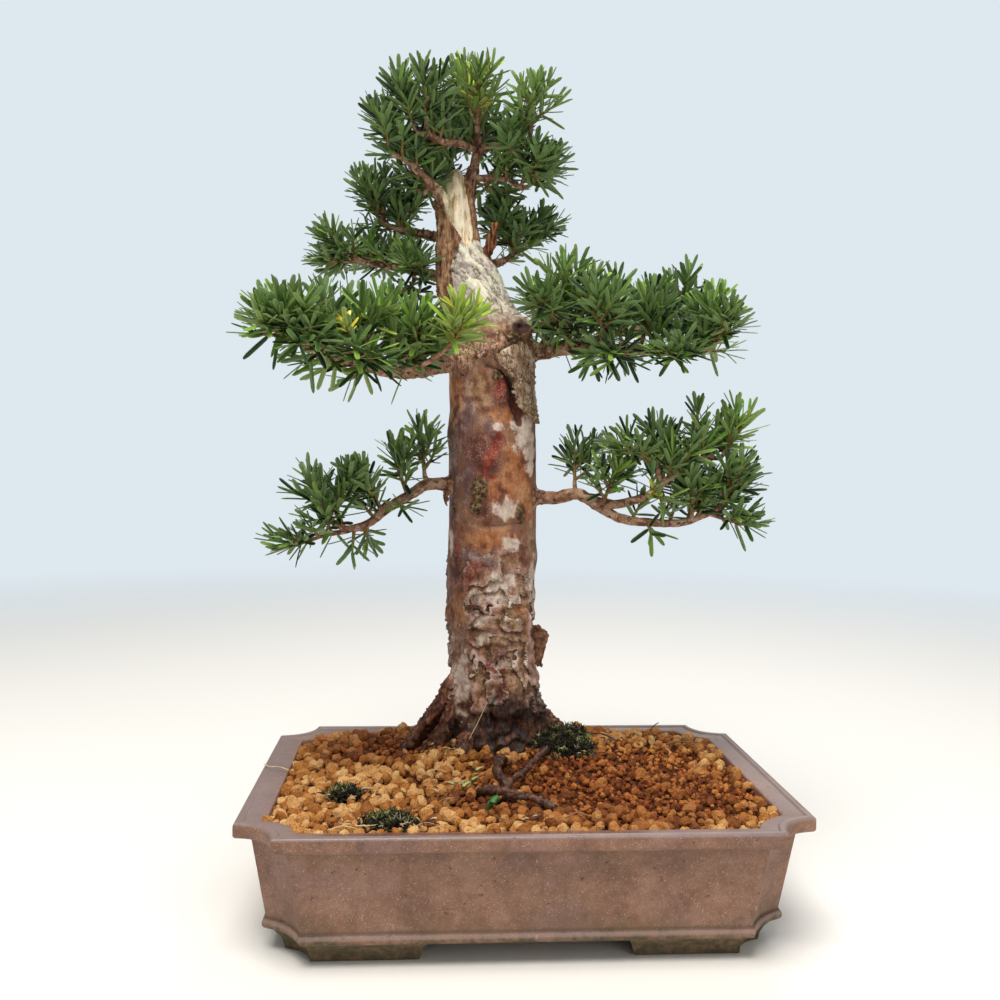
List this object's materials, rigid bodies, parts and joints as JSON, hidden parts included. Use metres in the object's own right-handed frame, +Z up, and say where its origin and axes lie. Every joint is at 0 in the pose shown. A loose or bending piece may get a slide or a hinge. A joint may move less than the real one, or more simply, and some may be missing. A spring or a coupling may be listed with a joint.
{
  "type": "bonsai tree in a pot",
  "caption": "Japanese yew trained as an upright bonsai with a stripped tip and layered pads of needles, in a footed, unglazed rectangular pot with scooped corners.",
  "frame": {"origin": "centre of the pot's footprint, on the plane that its feet stand on", "axes": "+Z up along the trunk, +X along the pot's long side, to the right as the tree is looked at, +Y to the back"},
  "size_m": [0.3331, 0.225, 0.5594],
  "materials": {
    "stoneware": "satin",
    "netting": "matte",
    "clay_grains": "matte",
    "bark": "matte",
    "moss": "matte",
    "needles": "satin"
  },
  "bodies": {
    "root": {"pot": "stoneware", "drain_screen_left": "netting", "drain_screen_right": "netting", "soil": "clay_grains", "tree": "bark", "moss_trunk": "moss", "moss_front_left": "moss", "moss_left": "moss", "spray_crown_front": "needles", "spray_crown_top": "needles", "spray_crown_left": "needles", "spray_crown_far_left": "needles", "spray_crown_right": "needles", "spray_crown_low_right": "needles", "spray_crown_low_left": "needles", "spray_crown_back": "needles", "spray_crown_back_left": "needles", "spray_crown_back_right": "needles", "spray_left_high": "needles", "spray_left_high_inner": "needles", "spray_left_mid_far": "needles", "spray_left_mid": "needles", "spray_left_mid_inner": "needles", "spray_left_tip": "needles", "spray_left_front_low": "needles", "spray_left_ridge": "needles", "spray_left_hanging": "needles", "spray_left_crest": "needles", "spray_left_inner": "needles", "spray_left_over_trunk": "needles", "spray_left_under": "needles", "spray_left_behind": "needles", "spray_right_crest": "needles", "spray_right_inner": "needles", "spray_right_front": "needles", "spray_right_middle": "needles", "spray_right_tip": "needles", "spray_right_tip_low": "needles", "spray_right_hanging": "needles", "spray_right_hanging_tip": "needles", "spray_right_back_inner": "needles", "spray_right_back_tip": "needles", "spray_left_lower_inner": "needles", "spray_left_lower_middle": "needles", "spray_left_lower_outer": "needles", "spray_left_lower_end": "needles", "spray_left_lower_droop": "needles", "spray_right_lower_inner": "needles", "spray_right_lower_middle": "needles", "spray_right_lower_low": "needles", "spray_right_lower_peak": "needles", "spray_right_lower_high": "needles", "spray_right_lower_outer": "needles", "spray_right_lower_end": "needles", "spray_right_lower_front": "needles", "spray_jin_side": "needles"}
  },
  "joints": []
}
